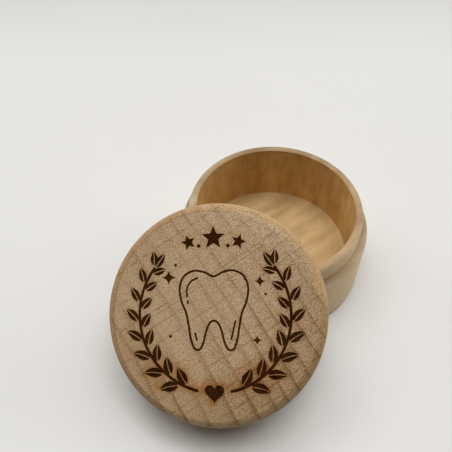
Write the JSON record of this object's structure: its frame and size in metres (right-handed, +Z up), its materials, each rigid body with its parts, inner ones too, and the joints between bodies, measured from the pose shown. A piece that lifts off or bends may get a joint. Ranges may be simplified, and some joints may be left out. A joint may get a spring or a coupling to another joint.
{
  "type": "baby tooth box",
  "caption": "Round turned wooden keepsake box, standing open: a cup with a stepped neck and a lift-off cap leaning on its rim; the cap fits over the neck and sits on the shoulder.",
  "frame": {"origin": "centre of the base cup's underside, on the table", "axes": "+Z up along the base cup's axis; -Y towards the side where the lid leans; +X to the right seen from there"},
  "size_m": [0.0652, 0.0803, 0.0401],
  "materials": {
    "base_wood": "bare, finely sanded",
    "lid_wood": "bare, finely sanded, with a burnt engraving on the face"
  },
  "bodies": {
    "base": {"base_cup": "base_wood"},
    "lid": {"lid_cap": "lid_wood"}
  },
  "joints": [
    {"name": "lid_lift", "type": "slide", "parent": "base", "child": "lid", "axis": [-0.1772, -0.5455, 0.8192], "range_m": [0, 0.06]}
  ]
}
